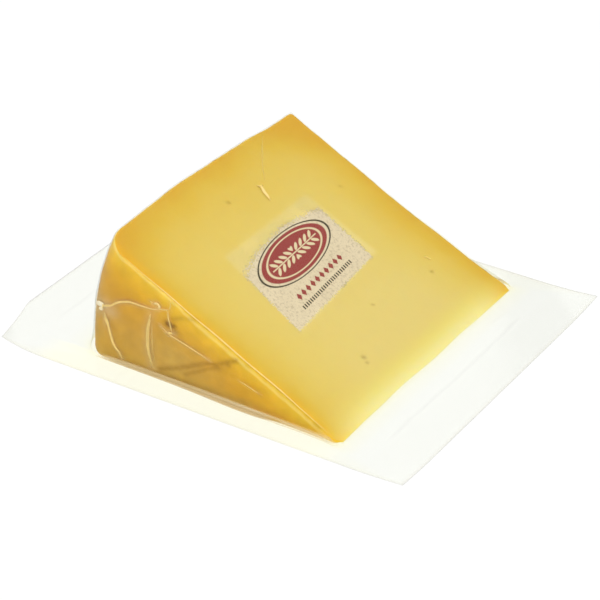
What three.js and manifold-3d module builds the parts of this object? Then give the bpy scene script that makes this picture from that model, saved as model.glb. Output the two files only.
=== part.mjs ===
// A vacuum-packed wedge of hard sheep's milk cheese, lying on one of its two cut faces.
// A flat base film lies under it, a formed cover film is drawn down over it and sealed to
// the base film all round, and a printed label lies on the sloping cut face.
// Millimetres, +Z up. +X runs from the rind end to the thin tip, +Y along the tip edge.
// The origin is the middle of the films' rectangle, on the surface that the pack lies on.
import * as THREE from "three";
import { mergeVertices } from "three/addons/utils/BufferGeometryUtils.js";
import Module from "manifold-3d";

// The wheel that the wedge was cut from. Its axis is the wedge's tip edge.
const WHEEL_RADIUS = 98; // at the widest place of its side
const WHEEL_HEIGHT = 104; // between its two flat rinds
const WEDGE_ANGLE = THREE.MathUtils.degToRad(27.7);
const SIDE_BULGE = 2.4; // how far the side falls back from its widest place to the far rim
const WIDEST_AT = 0.37; // the widest place, as a share of the height from the near rind
const NEAR_RIM_RADIUS = 6;
const FAR_RIM_RADIUS = 2.5;
const NEAR_RIND_STANDS_OUT = { tip: 0.7, base: 0, ridge: 1.9 }; // the near rind isn't quite square
const TIP_SPREAD = { near: -0.6, far: 4, reach: 7 }; // the thin tip, squeezed out at its far end

// The films
const FILM_LENGTH = 159;
const FILM_WIDTH = 128;
const FILM_THICKNESS = 0.3;
const TIP_TO_FILM_EDGE = 28;
const NEAR_RIND_TO_FILM_EDGE = 10.4;
const FOOT = { side: 2.6, flat: 1.2, reach: 3.5 }; // the cover film's flare where it meets the base
const CURLED_CORNERS = [
  { x: 1, y: -1, reach: 15, lift: 0.8, draw: 0 },
  { x: -1, y: -1, reach: 17, lift: 2.2, draw: 8 },
]; // the two front corners, each lifted past a diagonal fold, and the rind end's drawn in

// The label
const LABEL_THICKNESS = 0.25;
const LABEL_CORNERS = [
  { up: 34, along: 24.4 },
  { up: 37.7, along: 74.9 },
  { up: 70.2, along: 77 },
  { up: 68.2, along: 28.7 },
]; // up the slope from the tip edge and along from the near rind: the film stretched it askew

const GAP = 0.3; // clearance between pieces that lie on each other
const SEAL_LEVEL = FILM_THICKNESS + GAP; // underside of the cheese and of the cover's flange

// How finely the curved pieces are divided
const STEPS_TO_RIND = 16;
const STEPS_ALONG_TIP = 20;
const WALL_LEVELS = [0, 0.03, 0.08, 0.16, 0.3, 0.5, 0.75, 1];
const FILM_STEPS = { x: 16, y: 14 };

const wasm = await Module();
wasm.setup();

// How far a rounded rim falls back from the side, at a distance from the flat rind it meets.
function rimDrop(fromFace, radius) {
  const inside = Math.max(0, radius - fromFace);
  return radius - Math.sqrt(radius * radius - inside * inside);
}

// Distance of the wheel's side from its axis, at a height above the near rind.
function sideRadius(height) {
  const off = (height / WHEEL_HEIGHT - WIDEST_AT) / (1 - WIDEST_AT);
  const rims =
    rimDrop(height, NEAR_RIM_RADIUS) + rimDrop(WHEEL_HEIGHT - height, FAR_RIM_RADIUS);
  return WHEEL_RADIUS - SIDE_BULGE * off * off - rims;
}

// How far the near rind stands out: from the tip edge's amount towards the base's and the ridge's.
function nearRindOut(out, turn) {
  const { tip, base, ridge } = NEAR_RIND_STANDS_OUT;
  const atSide = base + (ridge - base) * turn;
  return tip + (atSide - tip) * out;
}

// A point of the wedge, or of a skin drawn over it.
// out runs from the tip edge (0) to the side rind (1), along from the near rind (0) to the far
// one (1), and turn from the lower cut face (0) to the upper one (1).
// A skin is offset by skin.offset, flares by skin.foot near the base, and ends skin.below it.
function wedgePoint(out, along, turn, skin) {
  const coreRadius = out * sideRadius(along * WHEEL_HEIGHT);
  const angle = turn * WEDGE_ANGLE;
  const flare = skin.foot * Math.exp((-coreRadius * Math.sin(angle)) / FOOT.reach);
  const radius = coreRadius + out * (skin.offset + FOOT.side * flare);
  const spread = Math.exp(-coreRadius / TIP_SPREAD.reach);
  const near = -nearRindOut(out, turn) - TIP_SPREAD.near * spread;
  const far = WHEEL_HEIGHT + TIP_SPREAD.far * spread;
  const y =
    near + (far - near) * along + (2 * along - 1) * (skin.offset + FOOT.flat * flare);
  if (out === 0) return new THREE.Vector3(tipReach(skin), y, SEAL_LEVEL - skin.below);
  return new THREE.Vector3(
    -radius * Math.cos(angle) + turn * skin.offset * Math.sin(WEDGE_ANGLE),
    y,
    SEAL_LEVEL +
      radius * Math.sin(angle) +
      turn * skin.offset * Math.cos(WEDGE_ANGLE) -
      (1 - turn) * skin.below,
  );
}

// Where a skin's sloping face, offset from the cut face, comes down to the skin's own base.
function tipReach(skin) {
  const down = skin.offset * Math.cos(WEDGE_ANGLE) + skin.below;
  return down / Math.tan(WEDGE_ANGLE) + skin.offset * Math.sin(WEDGE_ANGLE);
}

// Triangles over a grid of two lists of parameters, wound so that flip turns them over.
function addPatch(corners, us, vs, point, flip) {
  for (let i = 0; i < us.length - 1; i++)
    for (let j = 0; j < vs.length - 1; j++) {
      const quad = [
        point(us[i], vs[j]),
        point(us[i + 1], vs[j]),
        point(us[i + 1], vs[j + 1]),
        point(us[i], vs[j + 1]),
      ];
      if (flip) quad.reverse();
      addTriangle(corners, quad[0], quad[1], quad[2]);
      addTriangle(corners, quad[0], quad[2], quad[3]);
    }
}

// Adds a triangle, unless two of its corners are the same point, as at the tip edge.
function addTriangle(corners, a, b, c) {
  const least = 1e-3;
  if (a.distanceTo(b) > least && b.distanceTo(c) > least && c.distanceTo(a) > least)
    corners.push(a, b, c);
}

// A closed geometry with its shared vertices merged.
function closedGeometry(corners) {
  return mergeVertices(new THREE.BufferGeometry().setFromPoints(corners), 1e-3);
}

// Parameters from 0 to 1 that lie closer together towards both ends.
function closeAtBothEnds(steps) {
  return Array.from({ length: steps + 1 }, (_, i) => (1 - Math.cos((Math.PI * i) / steps)) / 2);
}

// Parameters from 0 to 1 that lie closer together towards 0.
function closeAtStart(steps) {
  return Array.from({ length: steps + 1 }, (_, i) => (i / steps) ** 1.5);
}

// The wedge, or a skin's outer form, as five faces that meet along the tip edge.
function wedgeGeometry(skin) {
  const out = closeAtStart(STEPS_TO_RIND);
  const along = closeAtBothEnds(STEPS_ALONG_TIP);
  const corners = [];
  addPatch(corners, out, along, (u, v) => wedgePoint(u, v, 1, skin), true);
  addPatch(corners, out, along, (u, v) => wedgePoint(u, v, 0, skin), false);
  addPatch(corners, out, WALL_LEVELS, (u, v) => wedgePoint(u, 0, v, skin), true);
  addPatch(corners, out, WALL_LEVELS, (u, v) => wedgePoint(u, 1, v, skin), false);
  addPatch(corners, along, WALL_LEVELS, (u, v) => wedgePoint(1, u, v, skin), true);
  return closedGeometry(corners);
}

// A point of a film, from its place on the flat rectangle: the curled corners lift and draw it in.
function filmPoint(x, y, level) {
  const point = new THREE.Vector3(x, y, level);
  for (const corner of CURLED_CORNERS) {
    const fromEnd = Math.abs((corner.x * FILM_LENGTH) / 2 - x);
    const fromFront = Math.abs((corner.y * FILM_WIDTH) / 2 - y);
    const pastFold = corner.reach - (fromEnd + fromFront) / Math.SQRT2;
    const share = Math.max(0, pastFold) / corner.reach;
    point.x -= corner.x * corner.draw * share;
    point.z += corner.lift * share * share;
  }
  return point;
}

// A film's flat rectangle in the films' own frame, with the curled corners.
function filmGeometry(level) {
  const xs = closeAtBothEnds(FILM_STEPS.x).map((t) => (t - 0.5) * FILM_LENGTH);
  const ys = closeAtBothEnds(FILM_STEPS.y).map((t) => (t - 0.5) * FILM_WIDTH);
  const point = (x, y, top) => filmPoint(x, y, level + top * FILM_THICKNESS);
  const bothFaces = [0, 1];
  const corners = [];
  addPatch(corners, xs, ys, (x, y) => point(x, y, 1), false);
  addPatch(corners, xs, ys, (x, y) => point(x, y, 0), true);
  for (const [end, flip] of [[xs[0], true], [xs.at(-1), false]])
    addPatch(corners, ys, bothFaces, (y, top) => point(end, y, top), flip);
  for (const [end, flip] of [[ys[0], false], [ys.at(-1), true]])
    addPatch(corners, xs, bothFaces, (x, top) => point(x, end, top), flip);
  return closedGeometry(corners);
}

// A closed geometry as a solid that can be joined and cut.
function solidOf(geometry) {
  return new wasm.Manifold(
    new wasm.Mesh({
      numProp: 3,
      vertProperties: geometry.attributes.position.array,
      triVerts: new Uint32Array(geometry.index.array),
    }),
  );
}

// A solid as a geometry with flat shading.
function geometryOf(solid) {
  const mesh = solid.getMesh();
  const geometry = new THREE.BufferGeometry()
    .setAttribute("position", new THREE.BufferAttribute(mesh.vertProperties, 3))
    .setIndex(new THREE.BufferAttribute(mesh.triVerts, 1));
  geometry.computeVertexNormals();
  return geometry;
}

// A mesh of one named piece.
function piece(name, geometry, material) {
  const mesh = new THREE.Mesh(geometry, material);
  mesh.name = name;
  return mesh;
}

const cheeseMaterial = new THREE.MeshStandardMaterial({ color: 0xe8cd7c, roughness: 0.5 });
const filmMaterial = new THREE.MeshStandardMaterial({
  color: 0xf6f4ea,
  roughness: 0.12,
  transparent: true,
  opacity: 0.35,
});
const labelMaterial = new THREE.MeshStandardMaterial({ color: 0xe0cfa6, roughness: 0.55 });

// The cheese: one sector of the wheel, on its lower cut face.
function makeCheese() {
  const geometry = wedgeGeometry({ offset: 0, foot: 0, below: 0 });
  geometry.computeVertexNormals();
  return piece("cheese_wedge", geometry, cheeseMaterial);
}

// The cover film: a skin drawn over the wedge, open below, with a flange on the base film.
function makeCoverFilm() {
  const offset = GAP + FILM_THICKNESS;
  const outer = wedgeGeometry({ offset, foot: 1, below: -FILM_THICKNESS / 2 });
  const inner = wedgeGeometry({ offset: GAP, foot: 1, below: GAP });
  const flange = filmGeometry(SEAL_LEVEL).translate(...fromFilmMiddle());
  const cover = solidOf(outer).add(solidOf(flange)).subtract(solidOf(inner));
  return piece("cover_film", geometryOf(cover), filmMaterial);
}

// The base film: the flat web under the cheese and the flange.
function makeBaseFilm() {
  const base = piece("base_film", filmGeometry(0), filmMaterial);
  base.geometry.computeVertexNormals();
  base.position.set(...fromFilmMiddle());
  return base;
}

// The films' middle, seen from the tip's near corner.
function fromFilmMiddle() {
  return [TIP_TO_FILM_EDGE - FILM_LENGTH / 2, FILM_WIDTH / 2 - NEAR_RIND_TO_FILM_EDGE, 0];
}

// The label, in a group whose X axis runs down the sloping cut face.
function makeLabel() {
  const outline = LABEL_CORNERS.map(({ up, along }) => new THREE.Vector2(-up, along)).reverse();
  const plate = new THREE.ExtrudeGeometry(new THREE.Shape(outline), {
    depth: LABEL_THICKNESS,
    bevelEnabled: false,
  });
  const label = piece("label", plate, labelMaterial);
  label.position.z = GAP + FILM_THICKNESS + GAP;
  const slope = new THREE.Group();
  slope.position.z = SEAL_LEVEL;
  slope.rotation.y = WEDGE_ANGLE;
  slope.add(label);
  return slope;
}

// The pieces stand in a group at the tip's near corner, and the films' middle is the origin.
const pack = new THREE.Group();
const [middleX, middleY] = fromFilmMiddle();
pack.position.set(-middleX, -middleY, 0);
pack.add(makeBaseFilm(), makeCheese(), makeCoverFilm(), makeLabel());

const group = new THREE.Group();
group.add(pack);

export default group;
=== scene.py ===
"""The looks of a vacuum-packed wedge of hard sheep's milk cheese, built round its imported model.

The wedge lies on one of its two cut faces. A flat film lies under it, a formed film is drawn
down over it and sealed round its foot, and a printed label lies on the sloping cut face.
Shapes are worked out in millimetres and become metres in the meshes.
"""

import logging
import math
from dataclasses import dataclass, field
from enum import Enum
from typing import Callable

import bmesh
import bpy
import numpy as np
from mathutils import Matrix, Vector


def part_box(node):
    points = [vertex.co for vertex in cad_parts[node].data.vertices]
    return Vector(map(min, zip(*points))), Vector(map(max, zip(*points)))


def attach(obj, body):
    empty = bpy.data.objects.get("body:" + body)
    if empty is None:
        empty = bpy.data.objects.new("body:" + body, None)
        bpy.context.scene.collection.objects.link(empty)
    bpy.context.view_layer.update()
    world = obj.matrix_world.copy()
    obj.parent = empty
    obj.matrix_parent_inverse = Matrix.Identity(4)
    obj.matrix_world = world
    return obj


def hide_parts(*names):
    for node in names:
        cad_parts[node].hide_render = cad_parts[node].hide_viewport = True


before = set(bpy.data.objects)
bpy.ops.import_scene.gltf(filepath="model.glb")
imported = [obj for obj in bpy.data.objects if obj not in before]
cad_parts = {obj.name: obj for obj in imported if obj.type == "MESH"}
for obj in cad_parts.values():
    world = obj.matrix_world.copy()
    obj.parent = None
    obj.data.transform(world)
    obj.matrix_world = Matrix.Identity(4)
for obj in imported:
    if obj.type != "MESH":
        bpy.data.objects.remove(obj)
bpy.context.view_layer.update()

LOG = logging.getLogger("scene")
Array = np.ndarray
Colour = tuple[float, float, float]
Place = Callable[[Array, Array, Array], Array]
MM = 0.001
SHARP = math.radians(75)


class Slot(Enum):
    """The record's material slots, one named for each kind of piece."""

    CHEESE = "cheese"
    FILM = "film"
    LABEL = "label"


class Film(Enum):
    """Attributes of a film's surface that its finish reads: shares of its tints, several of them
    painted light and shade.
    """

    HAZE_AND_LIGHT = "haze_and_light"
    FAT_AND_PAINTED_LIGHT = "fat_and_painted_light"
    OIL_AND_REFLECTION = "oil_and_reflection"
    PAINTED_BOUNCE = "painted_bounce"
    # Share of the painted shade along the films' edges.
    EDGE = "edge"


class Paste(Enum):
    """Attributes of the cheese's surface that its finish reads."""

    RIND = "rind"
    RIND_GAP = "rind_gap"
    TIP_GAP = "tip_gap"
    UNDER_RIDGE = "under_ridge"
    ABOVE_BASE = "above_base"
    GREYER = "greyer"
    PALE = "pale"
    STAIN_AND_PIT_SHADE = "stain_and_pit_shade"


# Shapes as arrays


def bell(distance: Array, width: float) -> Array:
    """Return a bell: e to the power of minus half the square of distance over width."""
    return np.exp(-0.5 * (distance / width) ** 2)


def ripple(points: Array, wavelength: float, seed: int, waves: int = 9) -> Array:
    """Return gentle swells over points, from about -1 to 1.

    It is the sum of sine waves of one wavelength, with seeded headings and phases, over the
    square root of half their number.

    Args:
        points: places, with x, y and z last.
        wavelength: of every wave, in the places' own units.
        seed: of the headings and phases.
        waves: how many waves are added.

    Returns:
        One number for each place.
    """
    draw = np.random.default_rng(seed)
    headings = draw.normal(size=(waves, 3))
    headings /= np.linalg.norm(headings, axis=1, keepdims=True)
    phases = draw.uniform(0, 2 * np.pi, waves)
    swing = np.sin(points @ headings.T * (2 * np.pi / wavelength) + phases)
    return swing.sum(axis=-1) / (2 * math.sqrt(waves / 2))


def crowded(steps: int, pull: float) -> Array:
    """Return parameters from 0 to 1, crowded at both ends: t - pull sin(2 pi t) / 2 pi."""
    t = np.linspace(0, 1, steps + 1)
    return t - pull * np.sin(2 * np.pi * t) / (2 * np.pi)


def distance_to_path(points: Array, path: Array) -> Array:
    """Return each place's distance to the nearest stretch of a path, in the plane of both."""
    start, end = path[:-1], path[1:]
    run = end - start
    rel = points[..., None, :] - start
    share = (rel * run).sum(-1) / np.maximum((run * run).sum(-1), 1e-9)
    nearest = start + np.clip(share, 0, 1)[..., None] * run
    return np.linalg.norm(points[..., None, :] - nearest, axis=-1).min(axis=-1)


def smooth_path(corners: Array, step: float) -> Array:
    """Return points a step apart on the Catmull-Rom curve through some corners.

    Each span is the cubic that passes through its two ends with half the chord between
    their neighbours as slope.
    """
    padded = np.vstack([2 * corners[0] - corners[1], corners, 2 * corners[-1] - corners[-2]])
    spans = []
    for a, b, c, d in zip(padded, padded[1:], padded[2:], padded[3:]):
        count = max(2, int(np.linalg.norm(c - b) / step))
        t = np.arange(count)[:, None] / count
        cubic = 2 * b + (c - a) * t + (2 * a - 5 * b + 4 * c - d) * t**2
        spans.append(0.5 * (cubic + (3 * b - a - 3 * c + d) * t**3))
    return np.vstack([*spans, corners[-1:]])


@dataclass
class Patch:
    """A grid of points with attributes, one part of a closed mesh.

    Attributes:
        points: the grid's places in millimetres, rows by columns by three.
        turned: whether its faces have to be turned over to point outwards.
        values: numbers for each point, by the attribute's name.
    """

    points: Array
    turned: bool = False
    values: dict[str, Array] = field(default_factory=dict)

    def faces(self, first: int) -> Array:
        """Return the grid's quads, as indices that start at first."""
        rows, columns = self.points.shape[:2]
        index = first + np.arange(rows * columns).reshape(rows, columns)
        quads = [index[:-1, :-1], index[1:, :-1], index[1:, 1:], index[:-1, 1:]]
        quads = np.stack(quads, axis=-1).reshape(-1, 4)
        return quads[:, ::-1] if self.turned else quads


def make_piece(name: str, patches: list[Patch]) -> bpy.types.Object:
    """Join grids into one smooth mesh object, with the vertices that they share welded.

    Args:
        name: of the piece.
        patches: its grids, all with the same attributes.

    Returns:
        The object, at the origin, with its place in its mesh in metres.
    """
    points = np.concatenate([patch.points.reshape(-1, 3) for patch in patches]) * MM
    firsts = np.cumsum([0] + [patch.points[..., 0].size for patch in patches])
    quads = np.concatenate([patch.faces(first) for patch, first in zip(patches, firsts)])
    mesh = bpy.data.meshes.new(name)
    mesh.vertices.add(len(points))
    mesh.vertices.foreach_set("co", points.astype(np.float32).ravel())
    mesh.loops.add(quads.size)
    mesh.loops.foreach_set("vertex_index", quads.astype(np.int32).ravel())
    mesh.polygons.add(len(quads))
    mesh.polygons.foreach_set("loop_start", np.arange(0, quads.size, 4, dtype=np.int32))
    mesh.update(calc_edges=True)
    for key in patches[0].values:
        numbers = np.concatenate([patch.values[key].ravel() for patch in patches])
        attribute = mesh.attributes.new(key, "FLOAT", "POINT")
        attribute.data.foreach_set("value", numbers.astype(np.float32))
    weld(mesh)
    mesh.polygons.foreach_set("use_smooth", np.ones(len(mesh.polygons), dtype=bool))
    mesh.set_sharp_from_angle(angle=SHARP)
    piece = bpy.data.objects.new(name, mesh)
    bpy.context.scene.collection.objects.link(piece)
    return piece


def weld(mesh: bpy.types.Mesh, reach: float = 0.002 * MM) -> None:
    """Merge the vertices that lie within reach, and drop the faces that this closes up."""
    work = bmesh.new()
    work.from_mesh(mesh)
    bmesh.ops.remove_doubles(work, verts=work.verts, dist=reach)
    bmesh.ops.dissolve_degenerate(work, edges=work.edges, dist=reach / 10)
    work.to_mesh(mesh)
    work.free()


def place_piece(piece: bpy.types.Object, slot: Slot, *nodes: str) -> None:
    """Let a piece ride on the pack and stand for CAD nodes."""
    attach(piece, "root")
    if nodes:
        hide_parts(*nodes)
    LOG.info("%s: %d faces", piece.name, len(piece.data.polygons))


# Materials


class Field:
    """A number that varies over a surface: a socket of a material's tree, with arithmetic."""

    def __init__(self, bench: "Bench", socket: bpy.types.NodeSocket) -> None:
        """Keep the tree and the socket."""
        self.bench = bench
        self.socket = socket

    def __add__(self, other: "Field | float") -> "Field":
        """Return the sum."""
        return self.bench.maths("ADD", self, other)

    def __sub__(self, other: "Field | float") -> "Field":
        """Return the difference."""
        return self.bench.maths("SUBTRACT", self, other)

    def __mul__(self, other: "Field | float") -> "Field":
        """Return the product."""
        return self.bench.maths("MULTIPLY", self, other)

    def __pow__(self, other: float) -> "Field":
        """Return the power."""
        return self.bench.maths("POWER", self, other)

    def __or__(self, other: "Field | float") -> "Field":
        """Return the larger of the two."""
        return self.bench.maths("MAXIMUM", self, other)

    def __and__(self, other: "Field | float") -> "Field":
        """Return the smaller of the two."""
        return self.bench.maths("MINIMUM", self, other)

    def size(self) -> "Field":
        """Return the number without its sign."""
        return self.bench.maths("ABSOLUTE", self, 0.0)

    def rise(self, low: float, high: float) -> "Field":
        """Return 0 at low and 1 at high, with a smooth step between."""
        node = self.bench.add("ShaderNodeMapRange", {"interpolation_type": "SMOOTHSTEP"})
        self.bench.feed(node, {"Value": self, "From Min": low, "From Max": high})
        return Field(self.bench, node.outputs[0])

    def inside(self, soft: float) -> "Field":
        """Return 1 where the number is below zero and 0 above, over a soft edge."""
        return self.bench.less(self.rise(-soft, soft))


class Bench:
    """A material's node tree, with one method for each kind of node that the finishes use."""

    def __init__(self, name: str) -> None:
        """Make a material of that name that holds only its output."""
        self.material = bpy.data.materials.new(name)
        self.material.use_nodes = True
        self.tree = self.material.node_tree
        self.tree.nodes.clear()
        self.output = self.add("ShaderNodeOutputMaterial")

    def add(self, kind: str, settings: dict | None = None) -> bpy.types.Node:
        """Return a new node of a kind, with its settings."""
        node = self.tree.nodes.new(kind)
        for key, value in (settings or {}).items():
            setattr(node, key, value)
        return node

    def feed(self, node: bpy.types.Node, inputs: dict) -> None:
        """Give a node its inputs: a field or a socket is linked, and anything else is set."""
        for key, value in inputs.items():
            if isinstance(value, Field):
                value = value.socket
            if isinstance(value, bpy.types.NodeSocket):
                self.tree.links.new(value, node.inputs[key])
            elif isinstance(value, tuple) and len(value) == 3 and node.inputs[key].type == "RGBA":
                node.inputs[key].default_value = (*value, 1.0)
            else:
                node.inputs[key].default_value = value

    def maths(self, operation: str, a: Field | float, b: Field | float) -> Field:
        """Return a field worked out from two others or numbers."""
        node = self.add("ShaderNodeMath", {"operation": operation})
        self.feed(node, {0: a, 1: b})
        return Field(self, node.outputs[0])

    def less(self, share: Field) -> Field:
        """Return what is left of one whole."""
        return self.maths("SUBTRACT", 1.0, share)

    def repeat(self, value: Field, pitch: float) -> Field:
        """Return a number that starts again at minus half a pitch after each pitch."""
        node = self.add("ShaderNodeMath", {"operation": "WRAP"})
        self.feed(node, {0: value, 1: pitch, 2: 0.0})
        return Field(self, node.outputs[0]) - pitch / 2

    def attribute(self, name: str) -> Field:
        """Return an attribute of the mesh as a field."""
        node = self.add("ShaderNodeAttribute", {"attribute_name": name})
        return Field(self, node.outputs["Fac"])

    def behind(self) -> Field:
        """Return 1 on faces that are seen from inside the piece, and 0 on the others."""
        return Field(self, self.add("ShaderNodeNewGeometry").outputs["Backfacing"])

    def place(self) -> bpy.types.NodeSocket:
        """Return the place on the piece, in metres."""
        return self.add("ShaderNodeTexCoord").outputs["Object"]

    def axes(self) -> list[Field]:
        """Return the place's three coordinates, in millimetres."""
        split = self.add("ShaderNodeSeparateXYZ")
        self.feed(split, {0: self.place()})
        return [Field(self, socket) * (1 / MM) for socket in split.outputs]

    def noise(self, grain: float, detail: float = 3.0, stretch: Colour = (1, 1, 1)) -> Field:
        """Return noise with a grain of some millimetres, stretched along the axes."""
        mapping = self.add("ShaderNodeMapping")
        scale = tuple(1 / (grain * MM * way) for way in stretch)
        self.feed(mapping, {"Vector": self.place(), "Scale": scale})
        node = self.add("ShaderNodeTexNoise")
        self.feed(node, {"Vector": mapping.outputs[0], "Scale": 1.0, "Detail": detail})
        return Field(self, node.outputs[0])

    def ramp(self, value: Field, stops: list[tuple[float, Colour]]) -> bpy.types.NodeSocket:
        """Return a colour that follows a field through stops, in the field's own units."""
        low, high = stops[0][0], stops[-1][0]
        node = self.add("ShaderNodeValToRGB")
        elements = node.color_ramp.elements
        for _ in stops[2:]:
            elements.new(0.5)
        for element, (at, colour) in zip(elements, stops):
            element.position = (at - low) / (high - low)
            element.color = (*colour, 1.0)
        share = self.add("ShaderNodeMapRange")
        self.feed(share, {"Value": value, "From Min": low, "From Max": high})
        self.feed(node, {0: share.outputs[0]})
        return node.outputs[0]

    def mix(
        self,
        share: Field | float,
        a: bpy.types.NodeSocket | Colour,
        b: bpy.types.NodeSocket | Colour,
        blend: str = "MIX",
    ) -> bpy.types.NodeSocket:
        """Return colour a with a share of colour b."""
        node = self.add("ShaderNodeMix", {"data_type": "RGBA", "blend_type": blend})
        self.feed(node, {0: share, 6: a, 7: b})
        return node.outputs[2]

    def vary(self, colour: bpy.types.NodeSocket, by: Field, amount: float) -> bpy.types.NodeSocket:
        """Return a colour made lighter and darker by up to an amount, as a field goes."""
        factor = (by - 0.5) * (2 * amount) + 1.0
        node = self.add("ShaderNodeVectorMath", {"operation": "SCALE"})
        self.feed(node, {0: colour, "Scale": factor})
        return node.outputs[0]

    def bump(self, height: Field, depth: float) -> bpy.types.NodeSocket:
        """Return a normal for relief of some millimetres."""
        node = self.add("ShaderNodeBump")
        self.feed(node, {"Height": height, "Distance": depth * MM, "Strength": 1.0})
        return node.outputs[0]

    def show(self, shader: bpy.types.Node) -> bpy.types.Material:
        """Put a shader on the output and return the material."""
        self.tree.links.new(shader.outputs[0], self.output.inputs["Surface"])
        return self.material


@dataclass(frozen=True)
class CheeseFinish:
    """Pale buttery paste that deepens towards the rind, and a smooth amber rind.

    Each ramp gives colours at distances in millimetres: the paste's from the rind, the
    tip's from the tip edge with painted light that shows through the thin tip, the rind's down from
    the ridge.
    """

    paste: tuple[tuple[float, Colour], ...] = (
        (-3.0, (0.70, 0.37, 0.018)),
        (0.0, (0.69, 0.41, 0.032)),
        (3.0, (0.715, 0.475, 0.053)),
        (6.0, (0.73, 0.515, 0.086)),
        (13.0, (0.745, 0.565, 0.138)),
        (26.0, (0.755, 0.598, 0.2)),
        (45.0, (0.755, 0.607, 0.236)),
    )
    # Painted light: the table's light showing through the thin tip, as paler colours.
    tip: tuple[tuple[float, Colour], ...] = (
        (0.0, (0.80, 0.755, 0.50)),
        (1.0, (0.81, 0.755, 0.44)),
        (2.2, (0.805, 0.735, 0.35)),
        (3.5, (0.805, 0.715, 0.27)),
        (6.0, (0.795, 0.675, 0.20)),
        (10.0, (0.765, 0.62, 0.175)),
    )
    rind: tuple[tuple[float, Colour], ...] = (
        (0.0, (0.79, 0.55, 0.066)),
        (2.5, (0.765, 0.475, 0.030)),
        (7.0, (0.69, 0.385, 0.020)),
        (13.0, (0.62, 0.328, 0.024)),
        (22.0, (0.555, 0.302, 0.038)),
        (34.0, (0.55, 0.314, 0.046)),
    )
    through_label: Colour = (0.95, 0.90, 0.60)
    # Colour of the stains on the rind, and of the painted shade in the cut face's pits.
    stain_and_pit_shade: Colour = (0.24, 0.105, 0.005)
    # A greyer, darker amber over the rind's lowest 5 mm, away from the tip.
    greyer_foot: Colour = (0.50, 0.335, 0.085)
    greyer: Colour = (0.545, 0.345, 0.083)
    near_tip: Colour = (0.70, 0.465, 0.04)
    # Painted highlight: the film's second bright line along the ridge, laid on the rind.
    ridge_highlight: Colour = (0.92, 0.74, 0.26)
    ridge_highlight_depth: float = 1.7
    rind_mottling: tuple[float, float] = (0.17, 0.12)
    paste_mottling: tuple[float, float] = (0.03, 0.02)

    def paste_colour(
        self, bench: Bench, cloud: Field, mottle: Field, grain: Field, tip_gap: Field
    ) -> bpy.types.NodeSocket:
        """Return the paste's colour: by its distance to the rinds, and paler at the thin tip, where
        painted light shows through it.
        """
        gap = bench.attribute(Paste.RIND_GAP.value) + (cloud - 0.5) * 5.0
        paste = bench.ramp(gap, list(self.paste))
        # Share of the painted light that shows through the thin tip.
        thin = bench.less(tip_gap.rise(3.0, 13.0))
        paste = bench.mix(thin * gap.rise(-5.0, 24.0), paste, bench.ramp(tip_gap, list(self.tip)))
        paste = bench.mix(bench.attribute(Paste.PALE.value) * 0.2, paste, self.through_label)
        coarse, fine = self.paste_mottling
        return bench.vary(bench.vary(paste, mottle, coarse), grain, fine)

    def rind_colour(
        self, bench: Bench, cloud: Field, mottle: Field, tip_gap: Field
    ) -> bpy.types.NodeSocket:
        """Return the rind's colour: by its distance to the ridge, with a painted highlight line of
        the film near it.

        It is greyer in one zone, darker at its foot and lighter near the tip.
        """
        under_ridge = bench.attribute(Paste.UNDER_RIDGE.value)
        rind = bench.ramp(under_ridge + (cloud - 0.5) * 6.0, list(self.rind))
        rind = bench.mix(bench.attribute(Paste.GREYER.value) * (cloud + 0.3), rind, self.greyer)
        at_foot = bench.less(bench.attribute(Paste.ABOVE_BASE.value).rise(0.0, 5.0))
        rind = bench.mix(at_foot * tip_gap.rise(12.0, 45.0) * 0.6, rind, self.greyer_foot)
        rind = bench.mix(bench.less(tip_gap.rise(6.0, 28.0)) * 0.85, rind, self.near_tip)
        # Where the painted highlight line of the film runs, below the ridge.
        ridge_highlight_gap = under_ridge + (mottle - 0.5) * 1.2 + tip_gap.rise(58.0, 68.0) * 0.9
        off_ridge_highlight = (ridge_highlight_gap - self.ridge_highlight_depth).size()
        rind = bench.mix(bench.less(off_ridge_highlight.rise(0.2, 1.1)) * 0.4, rind, self.ridge_highlight)
        coarse, fine = self.rind_mottling
        return bench.vary(bench.vary(rind, bench.noise(6.0, 4.0), coarse), mottle, fine)

    def material(self) -> bpy.types.Material:
        """Return the finish: paste and rind, with stains and painted shade in the pits, over a soft
        translucent body.
        """
        bench = Bench("cheese_paste_and_rind")
        cloud = bench.noise(14.0, 2.0)
        mottle = bench.noise(3.2, 4.0)
        grain = bench.noise(0.7, 2.0)
        tip_gap = bench.attribute(Paste.TIP_GAP.value) + (mottle - 0.5) * 1.5
        paste = self.paste_colour(bench, cloud, mottle, grain, tip_gap)
        rind = self.rind_colour(bench, cloud, mottle, tip_gap)
        colour = bench.mix(bench.attribute(Paste.RIND.value), paste, rind)
        patchy = bench.noise(1.1, 3.0) * 1.6 + 0.35
        # Stains, and painted shade in the pits.
        stain_and_pit_shade = (bench.attribute(Paste.STAIN_AND_PIT_SHADE.value) * patchy) & 1.0
        colour = bench.mix(stain_and_pit_shade, colour, self.stain_and_pit_shade)
        shader = bench.add("ShaderNodeBsdfPrincipled", {"subsurface_method": "RANDOM_WALK"})
        settings = {
            "Base Color": colour,
            "Roughness": mottle * 0.2 + 0.42,
            "Specular IOR Level": 0.25,
            "Subsurface Weight": bench.less(stain_and_pit_shade) * 0.35,
            "Subsurface Radius": (1.0, 0.62, 0.2),
            "Subsurface Scale": 2.2 * MM,
            "Normal": bench.bump(mottle * 0.7 + grain * 0.3, 0.12),
        }
        bench.feed(shader, settings)
        return bench.show(shader)


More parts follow.
